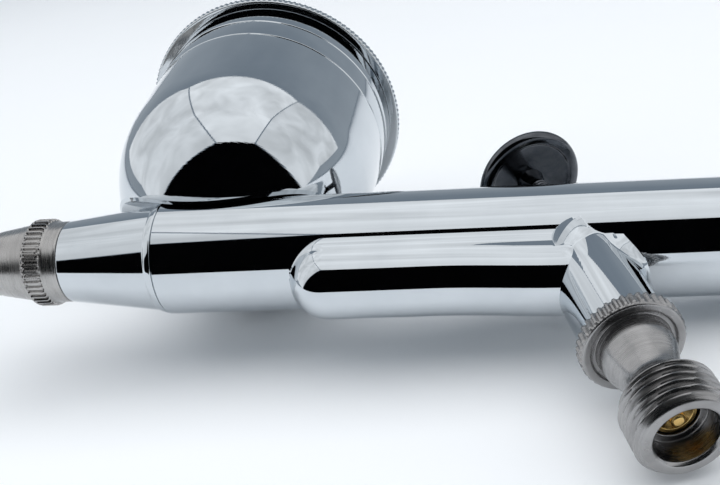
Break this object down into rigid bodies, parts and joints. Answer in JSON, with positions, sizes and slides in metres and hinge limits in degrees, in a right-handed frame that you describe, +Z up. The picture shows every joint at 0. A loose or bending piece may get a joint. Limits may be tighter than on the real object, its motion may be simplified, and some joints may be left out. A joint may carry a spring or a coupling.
{
  "type": "gravity-feed airbrush gun",
  "caption": "Double-action gravity-feed airbrush laid on its side, with a lidded metal cup, trigger, sprung needle and air valve.",
  "frame": {"origin": "centre of the bounding box's base, on the bench that the airbrush lies on", "axes": "+X from the nose to the handle's tail, +Y towards the cup lid, +Z up from the bench"},
  "size_m": [0.1524, 0.0724, 0.0373],
  "materials": {
    "chrome": "polished chrome plate over brass",
    "satin_steel": "satin-turned steel with a warm grey tone",
    "polished_steel": "ground and polished needle steel",
    "spring_steel": "drawn spring wire",
    "nickel": "nickel plate over brass",
    "brass": "machined brass",
    "gunmetal": "dark chrome, polished, reads as gunmetal",
    "white_packing": "white PTFE packing",
    "black_rubber": "black nitrile rubber"
  },
  "bodies": {
    "root": {"body": "chrome", "cup": "chrome", "head": "chrome", "head_packing": "white_packing", "nozzle": "nickel", "nozzle_packing": "white_packing", "nozzle_cap": "satin_steel", "needle_cap": "satin_steel", "needle_packing": "white_packing", "packing_screw": "brass", "spring_case": "nickel", "needle_spring": "spring_steel", "handle": "chrome", "plunger_guide": "brass", "valve_casing": "satin_steel", "casing_o_ring": "black_rubber", "valve_packing": "black_rubber", "valve_spring": "spring_steel", "valve_spring_screw": "brass"},
    "plunger_set": {"plunger": "brass", "plunger_o_ring": "black_rubber", "air_valve": "brass"},
    "trigger": {"trigger": "gunmetal"},
    "lever": {"auxiliary_lever": "nickel"},
    "needle_set": {"needle": "polished_steel", "needle_guide": "nickel", "chucking_nut": "nickel"},
    "lid": {"cup_lid": "chrome"}
  },
  "joints": [
    {"name": "trigger_press", "type": "slide", "parent": "root", "child": "plunger_set", "axis": [0.2522, -0.955, -0.156], "range_m": [0, 0.0016], "stiffness_N_per_m": 700, "deforming": ["valve_spring"]},
    {"name": "trigger_pull", "type": "hinge", "parent": "plunger_set", "child": "trigger", "pos_m": [0.00118, -0.00681, 0.01007], "axis": [-0.0793, 0.1403, -0.9869], "range_deg": [0, 18], "stiffness_Nm_per_rad": 0.07},
    {"name": "lever_tilt", "type": "hinge", "parent": "root", "child": "lever", "pos_m": [0.00407, -0.00781, 0.0097], "axis": [-0.0793, 0.1403, -0.9869], "range_deg": [0, 18.5]},
    {"name": "needle_draw", "type": "slide", "parent": "root", "child": "needle_set", "axis": [0.9968, 0, -0.0801], "range_m": [0, 0.0027], "deforming": ["needle_spring"]},
    {"name": "cup_lid_lift", "type": "slide", "parent": "root", "child": "lid", "axis": [0.0112, 0.9901, 0.1399], "range_m": [0, 0.012]}
  ],
  "couplings": [
    {"joint": "lever_tilt", "follows": "trigger_pull", "ratio": 1},
    {"joint": "needle_draw", "follows": "trigger_pull", "m_per_rad": 0.0083}
  ]
}
